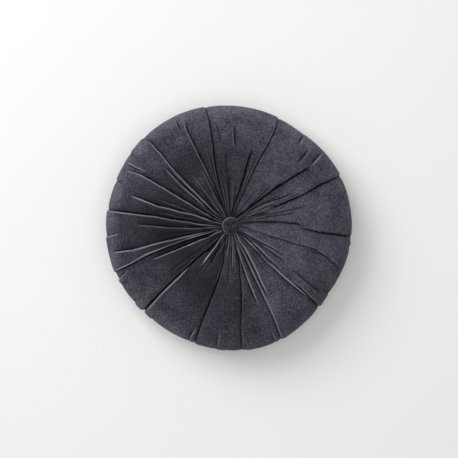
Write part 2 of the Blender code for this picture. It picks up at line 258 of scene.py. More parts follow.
# Rounded swells and hollows: mm high, mm wide, and the line that they follow.
swells = (
    (-3.0, 7.0, ((224, 0.05), (222.5, 0.26))),
    (2.2, 5.0, ((231, 0.08), (232.5, 0.36))),
    (-2.4, 6.0, ((240, 0.1), (240, 0.38))),
    (-1.8, 5.0, ((65, 0.08), (61, 0.28))),
    (2.0, 6.0, ((121, 0.28), (126, 0.5))),
    (2.4, 7.0, ((304, 0.06), (300.5, 0.32), (300, 0.7))),
    (2.2, 6.0, ((357, 0.07), (350, 0.28), (346, 0.5))),
    (1.8, 5.0, ((343, 0.06), (336, 0.18))),
    (1.6, 6.0, ((274, 0.14), (273, 0.36))),
    (1.8, 7.0, ((40, 0.12), (35, 0.3), (32, 0.5))),
    (-2.4, 5.0, ((116, 0.84), (116, 1.0))),
    (-1.6, 5.0, ((46, 0.8), (47, 0.98))),
    (-1.8, 6.0, ((308, 0.8), (308, 0.98))),
    (1.6, 9.0, ((332, 0.3), (330, 0.8))),
    (-1.6, 8.0, ((337, 0.35), (335, 0.85))),
    (1.6, 8.0, ((60, 0.35), (58, 0.8))),
    (1.4, 8.0, ((126, 0.5), (126, 0.9))),
)

# Patches of painted light and shade, paler or darker with how the light falls: degrees, reach, mm across, and
# how much paler it looks.
paintedPatches = (
    (182, 0.5, 85, -0.86),
    (250, 0.55, 60, -0.56),
    (98, 0.52, 58, -0.52),
    (130, 0.64, 42, -0.26),
    (277, 0.7, 38, -0.36),
    (52, 0.92, 42, 0.3),
    (95, 0.95, 40, 0.16),
    (228, 0.95, 30, 0.16),
    (340, 0.3, 45, 0.12),
    (22, 0.66, 30, 0.06),
    (318, 0.62, 35, 0.14),
    (2, 0.85, 25, 0.08),
    (127, 0.42, 9, 0.45),  # small pale spots
    (131, 0.36, 7, 0.35),
    (120, 0.77, 9, 0.45),
    (149, 0.84, 6, 0.4),
    (12, 0.75, 12, 0.25),
    (299, 0.68, 12, 0.35),
    (306, 0.82, 13, 0.25),
    (95, 0.87, 10, 0.3),
    (345, 0.79, 10, 0.2),
    (26, 0.48, 12, 0.25),
    (232, 0.74, 12, 0.25),
    (213, 0.62, 10, 0.25),
)


def lineAngle(line, reach):
    return np.interp(reach, [p[1] for p in line], [p[0] for p in line])


def lineStrength(line, reach):
    # fades in and out over a short way, but runs on under the button and over the rim
    start, end = line[0][1], line[-1][1]
    fade = min(fold["fadeLength"], (end - start) * fold["fadeShare"])
    rise = 1.0 if start <= fold["atButton"] else smoothStep(start, start + fade, reach)
    return rise * (1 - smoothStep(end - fade, end, reach))


def sideways(angle, other, radius):
    # mm along the ring from one angle to another
    return ((angle - other + 180) % 360 - 180) * math.pi / 180 * radius * 1000


# The section across a fold. Where there are two values, the second is what each mm of depth adds.
fold = {
    "edge": (1.6, 0.38),  # mm across its round edge
    "tail": 15,  # mm over which it sinks back behind the edge
    "slide": 4.5,  # mm over which the cloth in front slides down
    "hang": 0.26,  # share of its depth that the edge hangs over the crevice
    "hangFade": 0.8,  # in edges
    "crestPlace": 1.3,  # mm from the crevice to its painted highlight line
    "crestWidth": 0.66,
    "crestLip": (0.5, 1.2),  # mm of fold that show no painted highlight, and the further mm for a full one
    "crestLimits": (0.05, 1.7),
    # painted shade on the slope into the crevice and along the crevice itself
    "slopeShade": 0.1,
    "slopeWidth": (1.5, 1.0),
    "creviceShade": (0.45, 0.2),
    "creviceWidth": (0.9, 0.12),
    "crevicePlace": -0.2,
    "fadeLength": 0.09,  # reach over which an end fades out
    "fadeShare": 0.4,  # of a short line's length
    "atButton": 0.08,  # a line that starts within this reach doesn't fade there
    "crowded": (0.04, 0.35),  # m from the middle within which folds are narrower, and the least share
    "lowered": (0.03, 0.4),  # and the same for their height
    "rimFade": 0.38,  # share of the height lost where the rim pulls the cloth tight
    "rimReach": (0.92, 1.0, 1.1),
    "restRing": (0.062, 0.085, 0.135, 0.16),  # m from the middle, where the floor presses them flat
    "restFade": 0.75,
}


def foldProfile(away, deep, lip):
    # away is mm from the crevice, towards the standing fold where it is positive. The fold's edge is
    # round and hangs a little over the crevice, and the cloth before it slides down beneath.
    edge = fold["edge"][0] + fold["edge"][1] * deep
    roll = np.sqrt(1 - (1 - np.clip(away / edge, 0, 1)) ** 2)
    tail = np.exp(-np.maximum(away - edge, 0) / fold["tail"])
    standing = (deep + lip) * roll - deep - lip * (1 - tail)
    sliding = -deep * np.exp(np.minimum(away, 0) / fold["slide"])
    height = np.where(away < 0, sliding, standing)
    reached = np.exp(-np.maximum(away, 0) / (fold["hangFade"] * edge))
    hang = np.where(away > 0, -fold["hang"] * deep * reached, 0)
    return height, hang


def foldShades(away, deep, lip):
    # how strong the painted highlight is on the fold's edge, and how dark the painted shade is in the crevice
    # and on the slope into it
    standing = np.clip((lip - fold["crestLip"][0]) / fold["crestLip"][1], *fold["crestLimits"])
    crest = standing * np.exp(-(((away - fold["crestPlace"]) / fold["crestWidth"]) ** 2))
    slopeWidth = fold["slopeWidth"][0] + fold["slopeWidth"][1] * deep
    slope = fold["slopeShade"] * deep * np.exp(np.minimum(away, 0) / slopeWidth)
    shade = fold["creviceShade"][0] + fold["creviceShade"][1] * deep
    width = fold["creviceWidth"][0] + fold["creviceWidth"][1] * deep
    paintedShade = shade * np.exp(-(((away - fold["crevicePlace"]) / width) ** 2))
    return crest, np.minimum(np.where(away < 0, slope, 0) + paintedShade, 1)


gathers = {
    "seed": 11,
    "places": (0.07, 0.16, 0.26, 0.38, 0.5, 0.64),  # reach
    "shares": ((0.5,), (0.36, 0.7)),  # of the gap between two creases, for one gather or two
    "wander": 0.06,
    "deep": (0.8, 1.9),
    "lip": (0.3, 0.9),
}


def fineGathers():
    # small folds that fill the gaps between the creases beside the button, spaced by a seeded chance
    chance = np.random.default_rng(gathers["seed"])
    places, wander = gathers["places"], gathers["wander"]
    guides = [guideAngles(reach) for reach in places]
    lines = []
    for n in range(len(guides[0])):
        for share in gathers["shares"][int(chance.integers(0, 2))]:
            last = int(chance.integers(2, len(places) + 1))
            angles = []
            for guide in guides[:last]:
                gap = (guide[(n + 1) % len(guide)] - guide[n]) % 360
                angles.append(guide[n] + gap * (share + chance.uniform(-wander, wander)))
            line = tuple(zip(angles, places))
            lines.append((chance.uniform(*gathers["deep"]), chance.uniform(*gathers["lip"]), 1, line))
    return lines


underside = {
    "seed": 7,
    "between": (4.0, 356),  # degrees
    "apart": (7, 15),
    "drift": 7,  # degrees that a fold turns from its start to the lower button
    "starts": [0.88, 0.95, 1.02, 1.06, 1.2, 1.45],  # reach
    "deep": (1.6, 3.8),
    "lip": (0.4, 1.4),
}


def underLines():
    # folds underneath, drawn in to the lower button: the same kind of lines, spaced by a seeded chance
    chance = np.random.default_rng(underside["seed"])
    lines = []
    angle, last = underside["between"]
    while angle < last:
        drift = chance.uniform(-underside["drift"], underside["drift"])
        start = chance.choice(underside["starts"])
        deep, lip = chance.uniform(*underside["deep"]), chance.uniform(*underside["lip"])
        line = ((angle + drift, start), (angle + drift * 0.3, 1.6), (angle, 2.3))
        lines.append((deep, lip, int(chance.choice([-1, 1])), line))
        angle += chance.uniform(*underside["apart"])
    return lines


def foldsAt(angle, reach, radius):
    # height and sideways shift of the folds over the plain form in mm, and their painted highlights and
    # painted shade
    total, shift, pale, dark = (np.zeros_like(angle) for _ in range(4))
    inner, innerFull, outerFull, outer = fold["restRing"]
    resting = smoothStep(inner, innerFull, radius) * (1 - smoothStep(outerFull, outer, radius))
    flat = 1 - fold["restFade"] * resting
    narrow = np.clip(radius / fold["crowded"][0], fold["crowded"][1], 1)
    low = np.clip(radius / fold["lowered"][0], fold["lowered"][1], 1)
    before, middle, after = fold["rimReach"]
    tight = smoothStep(before, middle, reach) * (1 - smoothStep(middle, after, reach))
    rim = 1 - fold["rimFade"] * tight
    under = np.where(reach > 1, flat, 1)
    for lines, level in ((creases, rim), (fineGathers(), rim), (underLines(), under * rim)):
        for deep, lip, side, line in lines:
            away = sideways(angle, lineAngle(line, reach), radius) * side
            height, hang = foldProfile(away / narrow, deep, lip)
            crest, paintedShade = foldShades(away / np.sqrt(narrow), deep, lip)
            strength = lineStrength(line, reach) * level
            total += height * strength * low
            shift += hang * strength * low * side
            pale = np.maximum(pale, crest * strength)
            dark = np.maximum(dark, paintedShade * strength)
    for high, wide, line in swells:
        away = sideways(angle, lineAngle(line, reach), radius)
        total += high * np.exp(-((away / wide) ** 2)) * lineStrength(line, reach) * np.sqrt(low)
    return total, shift, pale, dark


paintedLight = {
    "least": 0.2,  # painted highlight along the rim: how much paler it is all round
    "more": 1.1,  # and how much more on the side towards the light
    "side": 130,  # degrees, the side towards the light
    "place": (0.86, 0.99, 1.02, 1.3),  # reach, where it begins, is full, ends being full and ends
    "patchEnd": (1.0, 1.3),
}


def toneAndPaintedLightAt(angle, reach):
    # 1 for the plain tone; paler where painted light lies along the rim, paler or darker in the patches of
    # painted light and shade
    spin = np.radians(angle)
    towards = 0.5 + 0.5 * np.cos(spin - math.radians(paintedLight["side"]))
    start, full, fade, end = paintedLight["place"]
    along = smoothStep(start, full, reach) * (1 - smoothStep(fade, end, reach))
    toneAndPaintedLight = 1 + (paintedLight["least"] + paintedLight["more"] * towards) * along
    above = 1 - smoothStep(*paintedLight["patchEnd"], reach)
    x, y = reach * np.cos(spin), reach * np.sin(spin)
    for degrees, place, wide, amount in paintedPatches:
        turn = math.radians(degrees)
        apart = np.hypot(x - place * math.cos(turn), y - place * math.sin(turn)) * cushionRadius * 1000
        toneAndPaintedLight += amount * np.exp(-((apart / wide) ** 2)) * above
    return toneAndPaintedLight


def outlineAt(angle):
    places = [p[0] for p in form["outline"]]
    heights = [p[1] for p in form["outline"]]
    angles = np.arange(0, 360, 1.0)
    ring = np.interp(angles, places + [360], heights + [heights[0]])
    kernel = np.exp(-((np.arange(-20, 21) / form["outlineBlur"]) ** 2))
    ring = np.convolve(np.tile(ring, 3), kernel / kernel.sum(), mode="same")[360:720]
    return np.interp(angle % 360, np.append(angles, 360), np.append(ring, ring[0])) / 1000


def leanAt(angle, reach):
    # how far the outline moves a point out, in metres, which fades towards both buttons
    return outlineAt(angle) * smoothStep(form["leanStart"], 1.0, np.minimum(reach, 2 - reach))


velvetLook = {
    "dark": "131319",
    "pale": "676775",
    # painted highlight colour for the fold edges and the button's edge
    "crest": "a4a4b2",
    "crestShare": 0.86,
    # painted shade colour for the crevices and against the button
    "paintedShade": "020203",
    "roughness": 0.9,
    "specular": 0.1,
    "sheen": 0.3,
    "sheenRoughness": 0.22,
    "sheenTint": "a0a0ac",
    "streakLength": 0.0042,
    "streakWidth": 0.00095,
    "warpShare": 0.85,
    "brushedSize": 0.03,
    "brushedShare": 0.3,
    "toneRange": (0.79, 1.33),
    "tonePower": 1.7,
    "bump": 0.55,
    "pileHeight": 0.0008,
}


def makeVelvet():
    # cotton velvet: a short cut pile over a slubbed weave, which shows as short crossing streaks.
    # A painted highlight runs along the edge of a fold, and painted shade, nearly black, lies in a crevice;
    # painted light and shade also lie in patches and along the rim.
    look = velvetLook
    material, tree, shader = startMaterial("cotton velvet, charcoal")
    cloth = addNode(tree, "ShaderNodeAttribute", {"attribute_name": "cloth"})
    crest = addNode(tree, "ShaderNodeAttribute", {"attribute_name": "crest"})
    paintedShade = addNode(tree, "ShaderNodeAttribute", {"attribute_name": "paintedShade"})
    toneAndPaintedLight = addNode(tree, "ShaderNodeAttribute", {"attribute_name": "toneAndPaintedLight"})
    place = addNode(tree, "ShaderNodeTexCoord")

    # velvet threads stand 0.3 mm apart, too fine to show, so the streaks are drawn about 1 mm wide
    across, along = 1 / look["streakWidth"], 1 / look["streakLength"]
    streaks = []
    for scale in ((along, along, across), (across, across, along)):
        lie = addNode(tree, "ShaderNodeMapping", {"Scale": scale}, {0: cloth.outputs["Vector"]})
        noise = {"Scale": 1, "Detail": 2, "Roughness": 0.75}
        streaks.append(addNode(tree, "ShaderNodeTexNoise", noise, {0: lie.outputs[0]}).outputs[0])
    weft, warp = streaks
    weave = addNode(
        tree, "ShaderNodeMath", {"operation": "MULTIPLY_ADD", 1: look["warpShare"]}, {0: warp, 2: weft}
    )
    noise = {"Scale": 1 / look["brushedSize"], "Detail": 4, "Roughness": 0.6}
    brushed = addNode(tree, "ShaderNodeTexNoise", noise, {0: place.outputs["Object"]})
    tone = addNode(
        tree,
        "ShaderNodeMath",
        {"operation": "MULTIPLY_ADD", 1: look["brushedShare"]},
        {0: brushed.outputs[0], 2: weave.outputs[0]},
    )
    darkest, palest = look["toneRange"]
    ramp = addNode(
        tree, "ShaderNodeMapRange", {"From Min": darkest, "From Max": palest}, {0: tone.outputs[0]}
    )
    standing = addNode(
        tree, "ShaderNodeMath", {"operation": "POWER", 1: look["tonePower"]}, {0: ramp.outputs[0]}
    )
    # tone times the painted light and shade of the patches and the rim
    toneWithPaintedLight = addNode(
        tree,
        "ShaderNodeMath",
        {"operation": "MULTIPLY", "use_clamp": True},
        {0: standing.outputs[0], 1: toneAndPaintedLight.outputs["Fac"]},
    )
    # painted highlight along the fold edges and the button's edge
    paintedHighlightShare = addNode(
        tree,
        "ShaderNodeMath",
        {"operation": "MULTIPLY", 1: look["crestShare"], "use_clamp": True},
        {0: crest.outputs["Fac"]},
    )

    # sockets 6 and 7 of a colour Mix are its two colours
    ground = addNode(
        tree,
        "ShaderNodeMix",
        {"data_type": "RGBA", 6: toLinear(look["dark"]), 7: toLinear(look["pale"])},
        {0: toneWithPaintedLight.outputs[0]},
    )
    highlighted = addNode(
        tree,
        "ShaderNodeMix",
        {"data_type": "RGBA", 7: toLinear(look["crest"])},
        {0: paintedHighlightShare.outputs[0], 6: ground.outputs[2]},
    )
    # painted shade in the crevices and against the button
    shaded = addNode(
        tree,
        "ShaderNodeMix",
        {"data_type": "RGBA", 7: toLinear(look["paintedShade"])},
        {0: paintedShade.outputs["Fac"], 6: highlighted.outputs[2]},
    )
    bump = addNode(
        tree,
        "ShaderNodeBump",
        {"Strength": look["bump"], "Distance": look["pileHeight"]},
        {"Height": weave.outputs[0]},
    )
    tree.links.new(shaded.outputs[2], shader.inputs["Base Color"])
    tree.links.new(bump.outputs[0], shader.inputs["Normal"])
    shader.inputs["Roughness"].default_value = look["roughness"]
    shader.inputs["Specular IOR Level"].default_value = look["specular"]
    shader.inputs["Sheen Weight"].default_value = look["sheen"]
    shader.inputs["Sheen Roughness"].default_value = look["sheenRoughness"]
    shader.inputs["Sheen Tint"].default_value = toLinear(look["sheenTint"])
    return material


velvet = makeVelvet()


cover = {
    "columns": 300,  # doubled by the subdivision, as the rings are
    "rings": 84,
    "gather": 0.6,  # how much closer the columns stand beside a crease
    "leastGap": 0.9,  # degrees between neighbouring guide lines
    "orderReach": 0.6,  # where the guide lines are put in order
    "lastReach": 1.15,  # past which they run straight on
    "foldStart": (0.006, 0.014),  # m from the middle, where the folds rise
    "clothSpread": 0.6,  # how far the weave draws together towards the button, from 0 to 1
    "gapShade": 0.75,  # how dark the painted shade is on the velvet against the button
    "gapWidth": 0.0022,
    # the cloth simulation, in Blender's own units, and what holds the cloth still in it
    "frames": 18,
    "quality": 4,
    "pressure": 5.0,
    "growth": 0.012,  # spare cloth between the creases
    "mass": 0.3,
    "stretch": 12,
    "shear": 4,
    "bending": 1.2,
    "pinning": 4,
    "mostSwell": 0.0045,  # m that it may move a point
    "heldDepth": 0.0024,  # m below the plain form where a crease holds fully
    "heldEnds": (0.018, 0.03),  # m from the middle
    "heldFloor": (0.0006, 0.003, 0.9),  # from and to which height, and how much
    "heldRim": (0.6, 0.14),  # how much, and over which reach
    "pressedTo": 0.7,  # share of the height left when someone sits on it
}


def guideAngles(reach):
    # angle of every crease at a reach, in order round the cushion, kept apart and rising
    lines = sorted((crease[3] for crease in creases), key=lambda line: lineAngle(line, cover["orderReach"]))
    angles = []
    for line in lines:
        value = float(lineAngle(line, min(reach, cover["lastReach"])))
        if angles:
            value = max(value, angles[-1] + cover["leastGap"])
        angles.append(value)
    limit = angles[0] + 360 - cover["leastGap"]
    for n in range(len(angles) - 1, -1, -1):
        angles[n] = min(angles[n], limit)
        limit = angles[n] - cover["leastGap"]
    return angles


def columnAngles(reach, columns):
    # columns shared out between the creases, closer together beside each one
    middle = guideAngles(cover["orderReach"])
    gaps = np.diff(middle + [middle[0] + 360])
    counts = np.maximum(1, np.floor(gaps / 360 * columns)).astype(int)
    while counts.sum() < columns:
        counts[np.argmax(gaps / counts)] += 1
    while counts.sum() > columns:
        counts[np.argmax(counts / gaps * (counts > 1))] -= 1
    here = guideAngles(reach)
    here.append(here[0] + 360)
    angles = []
    for n, count in enumerate(counts):
        share = np.arange(count) / count
        share = share - cover["gather"] * np.sin(2 * math.pi * share) / (2 * math.pi)
        angles.append(here[n] + (here[n + 1] - here[n]) * share)
    return np.concatenate(angles)


def addRoundGrid(columns, rings):
    # ball whose rings become a piece's rings, from the top middle to the lower one, open at its poles
    deselectAll()
    bpy.ops.mesh.primitive_uv_sphere_add(segments=columns, ring_count=rings, radius=1)
    ball = bpy.context.object
    points = readPoints(ball)
    poles = np.abs(points[:, 2]) > 1 - 1e-6
    bpy.ops.object.mode_set(mode="EDIT")
    bpy.ops.mesh.select_all(action="DESELECT")
    bpy.ops.object.mode_set(mode="OBJECT")
    ball.data.vertices.foreach_set("select", poles)
    bpy.ops.object.mode_set(mode="EDIT")
    bpy.ops.mesh.delete(type="VERT")
    bpy.ops.object.mode_set(mode="OBJECT")
    points = readPoints(ball)
    ring = np.rint(np.arccos(np.clip(points[:, 2], -1, 1)) / math.pi * rings).astype(int)
    column = np.rint(np.degrees(np.arctan2(points[:, 1], points[:, 0])) / 360 * columns).astype(int) % columns
    return ball, ring, column


def closeOpenings(piece, bridged=False):
    # fills each open end, or joins the two by a channel
    deselectAll()
    piece.select_set(True)
    bpy.context.view_layer.objects.active = piece
    bpy.ops.object.mode_set(mode="EDIT")
    bpy.ops.mesh.select_mode(type="VERT")
    bpy.ops.mesh.select_all(action="DESELECT")
    bpy.ops.mesh.select_non_manifold()
    if bridged:
        bpy.ops.mesh.bridge_edge_loops()
    else:
        bpy.ops.mesh.edge_face_add()
        bpy.ops.mesh.select_all(action="SELECT")
        bpy.ops.mesh.fill_holes(sides=0)
    bpy.ops.mesh.select_all(action="SELECT")
    bpy.ops.mesh.normals_make_consistent(inside=False)
    bpy.ops.object.mode_set(mode="OBJECT")
    bpy.ops.object.shade_smooth()


def setFloats(piece, name, values):
    if name in piece.data.attributes:
        piece.data.attributes.remove(piece.data.attributes[name])
    kind = "FLOAT" if values.ndim == 1 else "FLOAT_VECTOR"
    attribute = piece.data.attributes.new(name, kind, "POINT")
    attribute.data.foreach_set("value" if values.ndim == 1 else "vector", values.ravel())


def takeFloats(piece, name, width=1):
    # reads an attribute and drops it
    values = np.empty(len(piece.data.vertices) * width)
    piece.data.attributes[name].data.foreach_get("value" if width == 1 else "vector", values)
    piece.data.attributes.remove(piece.data.attributes[name])
    return values if width == 1 else values.reshape(-1, width)


def plainForm(ring, column, columns, rings, inset=0.0):
    # places the grid on the plain form, and says where each point is on the cloth
    ringR, ringZ, outR, outZ, reach, length = meridianAt(rings)
    angles = np.stack([columnAngles(value, columns) for value in reach])
    angle = angles[ring, column]
    spin = np.radians(angle)
    radius = ringR[ring] + leanAt(angle, reach[ring]) - outR[ring] * inset
    height = ringZ[ring] - outZ[ring] * inset
    points = np.stack([radius * np.cos(spin), radius * np.sin(spin), height], axis=1)
    out = np.stack([outR[ring] * np.cos(spin), outR[ring] * np.sin(spin), outZ[ring]], axis=1)
    return points, out, angle, reach[ring], length[ring]


def foldMoves(points, out, reach):
    # how far the folds move each point, in metres, then its fold height, painted highlight and painted shade
    radius = np.hypot(points[:, 0], points[:, 1])
    spin = np.arctan2(points[:, 1], points[:, 0])
    height, shift, pale, dark = foldsAt(np.degrees(spin) % 360, reach, radius)
    level = smoothStep(*cover["foldStart"], radius)
    around = np.stack([-np.sin(spin), np.cos(spin), np.zeros_like(spin)], axis=1)
    moves = out * (height * level)[:, None] + around * (shift * level)[:, None]
    gap = np.exp(-np.maximum(radius - buttonRadius, 0) / cover["gapWidth"]) * cover["gapShade"]
    return moves / 1000, height * level / 1000, pale * level, np.maximum(dark, gap)


def inflate(piece, held):
    # lets the cloth swell between the places where the creases hold it
    group = piece.vertex_groups.new(name="held")
    for n, weight in enumerate(held):
        if weight > 0.01:
            group.add([n], float(weight), "REPLACE")
    start = readPoints(piece)
    cloth = piece.modifiers.new("filled velvet", "CLOTH")
    cloth.settings.quality = cover["quality"]
    cloth.settings.mass = cover["mass"]
    cloth.settings.tension_stiffness = cover["stretch"]
    cloth.settings.compression_stiffness = cover["stretch"]
    cloth.settings.shear_stiffness = cover["shear"]
    cloth.settings.bending_stiffness = cover["bending"]
    cloth.settings.vertex_group_mass = "held"
    cloth.settings.pin_stiffness = cover["pinning"]
    cloth.settings.use_pressure = True
    cloth.settings.uniform_pressure_force = cover["pressure"]
    cloth.settings.shrink_min = -cover["growth"]
    cloth.settings.effector_weights.gravity = 0
    cloth.collision_settings.use_collision = False
    cloth.point_cache.frame_start = 1
    cloth.point_cache.frame_end = cover["frames"]
    scene = bpy.context.scene
    for number in range(1, cover["frames"] + 1):
        scene.frame_set(number)
    applyModifiers(piece)
    scene.frame_set(1)
    moved = readPoints(piece) - start
    far = np.linalg.norm(moved, axis=1)
    limit = np.minimum(1, cover["mostSwell"] / np.maximum(far, 1e-9))
    print("cloth simulated, mean swell", round(far.mean() * 1000, 1), "mm, most", round(far.max() * 1000, 1))
    writePoints(piece, start + moved * limit[:, None])
    piece.vertex_groups.clear()


def heldShares(points, reach, height):
    # 1 where the cloth can't move: in the creases, at the buttons, on the floor and partly at the rim
    ends = 1 - smoothStep(*cover["heldEnds"], np.hypot(points[:, 0], points[:, 1]))
    low, high, floorShare = cover["heldFloor"]
    resting = (1 - smoothStep(low, high, points[:, 2])) * floorShare
    rimShare, rimReach = cover["heldRim"]
    rim = rimShare * np.exp(-(((reach - 1) / rimReach) ** 2))
    return np.maximum.reduce([np.clip(-height / cover["heldDepth"], 0, 1), ends, resting, rim])


def makeCover():
    piece, ring, column = addRoundGrid(cover["columns"], cover["rings"])
    points, out, angle, reach, length = plainForm(ring, column, cover["columns"], cover["rings"])
    spin = np.radians(angle)
    spread = cover["clothSpread"]
    around = (1 - spread) * cushionRadius + spread * np.hypot(points[:, 0], points[:, 1])
    cloth = np.stack([around * np.cos(spin), around * np.sin(spin), length], axis=1)
    moves, height = foldMoves(points, out, reach)[:2]
    writePoints(piece, points + moves)
    inflate(piece, heldShares(points, reach, height))
    setFloats(piece, "cloth", cloth)
    setFloats(piece, "reach", reach)
    setFloats(piece, "out", out)
    setFloats(piece, "moved", moves)
    setFloats(piece, "plain", points)
    finer = piece.modifiers.new("finer", "SUBSURF")
    finer.levels = finer.render_levels = 1
    applyModifiers(piece)

    # the sharp edges of the folds come after the simulation, where the mesh is fine enough for them
    plain, out = takeFloats(piece, "plain", 3), takeFloats(piece, "out", 3)
    out /= np.linalg.norm(out, axis=1)[:, None]
    reach = takeFloats(piece, "reach")
    moves, height, pale, dark = foldMoves(plain, out, reach)
    # painted light and shade: tone patches and rim light, highlights on the fold edges, shade in the crevices
    # and against the button
    setFloats(piece, "toneAndPaintedLight", toneAndPaintedLightAt(np.degrees(np.arctan2(plain[:, 1], plain[:, 0])), reach))
    setFloats(piece, "crest", pale)
    setFloats(piece, "paintedShade", dark)
    points = readPoints(piece) + moves - takeFloats(piece, "moved", 3)
    points[:, 2] = np.maximum(points[:, 2], 0)
    writePoints(piece, points)
    closeOpenings(piece)
    return namePiece("velvetCover", velvet)


def pressWithSeat(piece, node):
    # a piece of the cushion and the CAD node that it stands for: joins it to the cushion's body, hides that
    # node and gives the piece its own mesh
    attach(piece, "cushion")
    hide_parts(node)
    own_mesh(piece)


coverPiece = makeCover()
pressWithSeat(coverPiece, "velvet_cover")
print("cover made")


insert = {
    "columns": 120,
    "rings": 48,
    "inset": 0.009,  # below the plain form, so that the deepest crevice stays clear of it
    "casing": 0.0006,
    "clearance": 0.0003,
    "stitch": 0.00035,
    "seamInset": 0.0085,  # of the cover's closing seam, below the plain form
    "seamAngle": 105.0,
    "seamRings": 140,
    "seamStart": 0.03,  # m from the middle, where that seam runs in under the gathers
}

# Sizes of the patterns in metres: bond points 1.2 mm apart, tangles of fibre 4 mm across, plies that
# turn every 0.6 mm, and zinc crystals 3 mm across.
patternSize = {"bond": 0.0012, "tangle": 0.004, "ply": 0.0006, "crystal": 0.003}


def makeCasing():
    # polypropylene spunbond: thin white felted cloth, dimpled where it was spot bonded
    material, tree, shader = startMaterial("spunbond polypropylene, white")
    place = addNode(tree, "ShaderNodeTexCoord")
    bonds = {"Scale": 1 / patternSize["bond"]}
    bond = addNode(tree, "ShaderNodeTexVoronoi", bonds, {0: place.outputs["Object"]})
    dimples = {"Strength": 0.3, "Distance": 0.0002}
    bump = addNode(tree, "ShaderNodeBump", dimples, {"Height": bond.outputs[0]})
    tree.links.new(bump.outputs[0], shader.inputs["Normal"])
    shader.inputs["Base Color"].default_value = toLinear("deded8")
    shader.inputs["Roughness"].default_value = 0.85
    return material


def makeFibre():
    # siliconised polyester fibre: white, tangled and slightly glossy strands
    material, tree, shader = startMaterial("polyester fibre filling")
    place = addNode(tree, "ShaderNodeTexCoord")
    tangles = {"Scale": 1 / patternSize["tangle"], "Detail": 8, "Distortion": 2}
    strands = addNode(tree, "ShaderNodeTexNoise", tangles, {0: place.outputs["Object"]})
    bump = addNode(
        tree, "ShaderNodeBump", {"Strength": 0.8, "Distance": 0.001}, {"Height": strands.outputs[0]}
    )
    tree.links.new(bump.outputs[0], shader.inputs["Normal"])
    shader.inputs["Base Color"].default_value = toLinear("efefeb")
    shader.inputs["Roughness"].default_value = 0.7
    return material


def makeThread(name, hexText):
    # spun polyester: matt, with the twist of its plies showing as fine slanting ridges
    material, tree, shader = startMaterial(name)
    place = addNode(tree, "ShaderNodeTexCoord")
    twist = {"Scale": 1 / patternSize["ply"], "Distortion": 1, "bands_direction": "DIAGONAL"}
    ply = addNode(tree, "ShaderNodeTexWave", twist, {0: place.outputs["Object"]})
    bump = addNode(
        tree, "ShaderNodeBump", {"Strength": 0.5, "Distance": 0.0001}, {"Height": ply.outputs[0]}
    )
    tree.links.new(bump.outputs[0], shader.inputs["Normal"])
    shader.inputs["Base Color"].default_value = toLinear(hexText)
    shader.inputs["Roughness"].default_value = 0.75
    shader.inputs["Sheen Weight"].default_value = 0.2
    return material


def makeZinc():
    # zinc-plated pressed steel: a cool, slightly cloudy half gloss
    material, tree, shader = startMaterial("zinc plated steel")
    place = addNode(tree, "ShaderNodeTexCoord")
    crystals = {"Scale": 1 / patternSize["crystal"], "Detail": 4}
    cloud = addNode(tree, "ShaderNodeTexNoise", crystals, {0: place.outputs["Object"]})
    gloss = addNode(tree, "ShaderNodeMapRange", {"To Min": 0.28, "To Max": 0.46}, {0: cloud.outputs[0]})
    tree.links.new(gloss.outputs[0], shader.inputs["Roughness"])
    shader.inputs["Base Color"].default_value = toLinear("c9cbcf")
    shader.inputs["Metallic"].default_value = 1
    return material


casing, fibre, zinc = makeCasing(), makeFibre(), makeZinc()
sewingThread = makeThread("spun polyester thread, charcoal", "2f2f35")
twineThread = makeThread("waxed polyester twine, natural", "c8c0a8")


def makeInsertShell(inset):
    piece, ring, column = addRoundGrid(insert["columns"], insert["rings"])
    points = plainForm(ring, column, insert["columns"], insert["rings"], inset)[0]
    writePoints(piece, points)
    return piece


def makePanel(name, upper):
    piece = makeInsertShell(insert["inset"])
    height = form["rimHeight"] + (0.5 if upper else -0.5) * insert["clearance"]
    bpy.ops.object.mode_set(mode="EDIT")
    bpy.ops.mesh.select_all(action="SELECT")
    bpy.ops.mesh.bisect(plane_co=(0, 0, height), plane_no=(0, 0, 1), clear_inner=upper, clear_outer=not upper)
    bpy.ops.object.mode_set(mode="OBJECT")
    wall = piece.modifiers.new("cloth wall", "SOLIDIFY")
    wall.thickness = insert["casing"]
    wall.offset = -1
    applyModifiers(piece)
    bpy.ops.object.shade_smooth()
    return namePiece(name, casing)


def makeFilling():
    piece = makeInsertShell(insert["inset"] + insert["casing"] + 3 * insert["clearance"])
    closeOpenings(piece, bridged=True)
    return namePiece("fibreFilling", fibre)


def addThread(name, points, diameter, material, closed=False):
    data = bpy.data.curves.new(name, "CURVE")
    data.dimensions = "3D"
    data.bevel_depth = diameter / 2
    data.bevel_resolution = 2
    data.use_fill_caps = not closed
    spline = data.splines.new("POLY")
    spline.points.add(len(points) - 1)
    for point, place in zip(spline.points, points):
        point.co = (*place, 1)
    spline.use_cyclic_u = closed
    thread = bpy.data.objects.new(name, data)
    bpy.context.scene.collection.objects.link(thread)
    deselectAll()
    thread.select_set(True)
    bpy.context.view_layer.objects.active = thread
    bpy.ops.object.convert(target="MESH")
    bpy.ops.object.shade_smooth()
    return namePiece(name, material)


def makeCoverSeam():
    # the tube's closing seam, sewn on the inside of the velvet
    ringR, ringZ, outR, outZ, reach, _ = meridianAt(insert["seamRings"])
    keep = ringR > insert["seamStart"]
    lean = leanAt(np.full(keep.sum(), insert["seamAngle"]), reach[keep])
    radius = ringR[keep] + lean - outR[keep] * insert["seamInset"]
    height = ringZ[keep] - outZ[keep] * insert["seamInset"]
    spin = math.radians(insert["seamAngle"])
    points = [(r * math.cos(spin), r * math.sin(spin), z) for r, z in zip(radius, height)]
    return addThread("coverSeamThread", points, insert["stitch"], sewingThread)


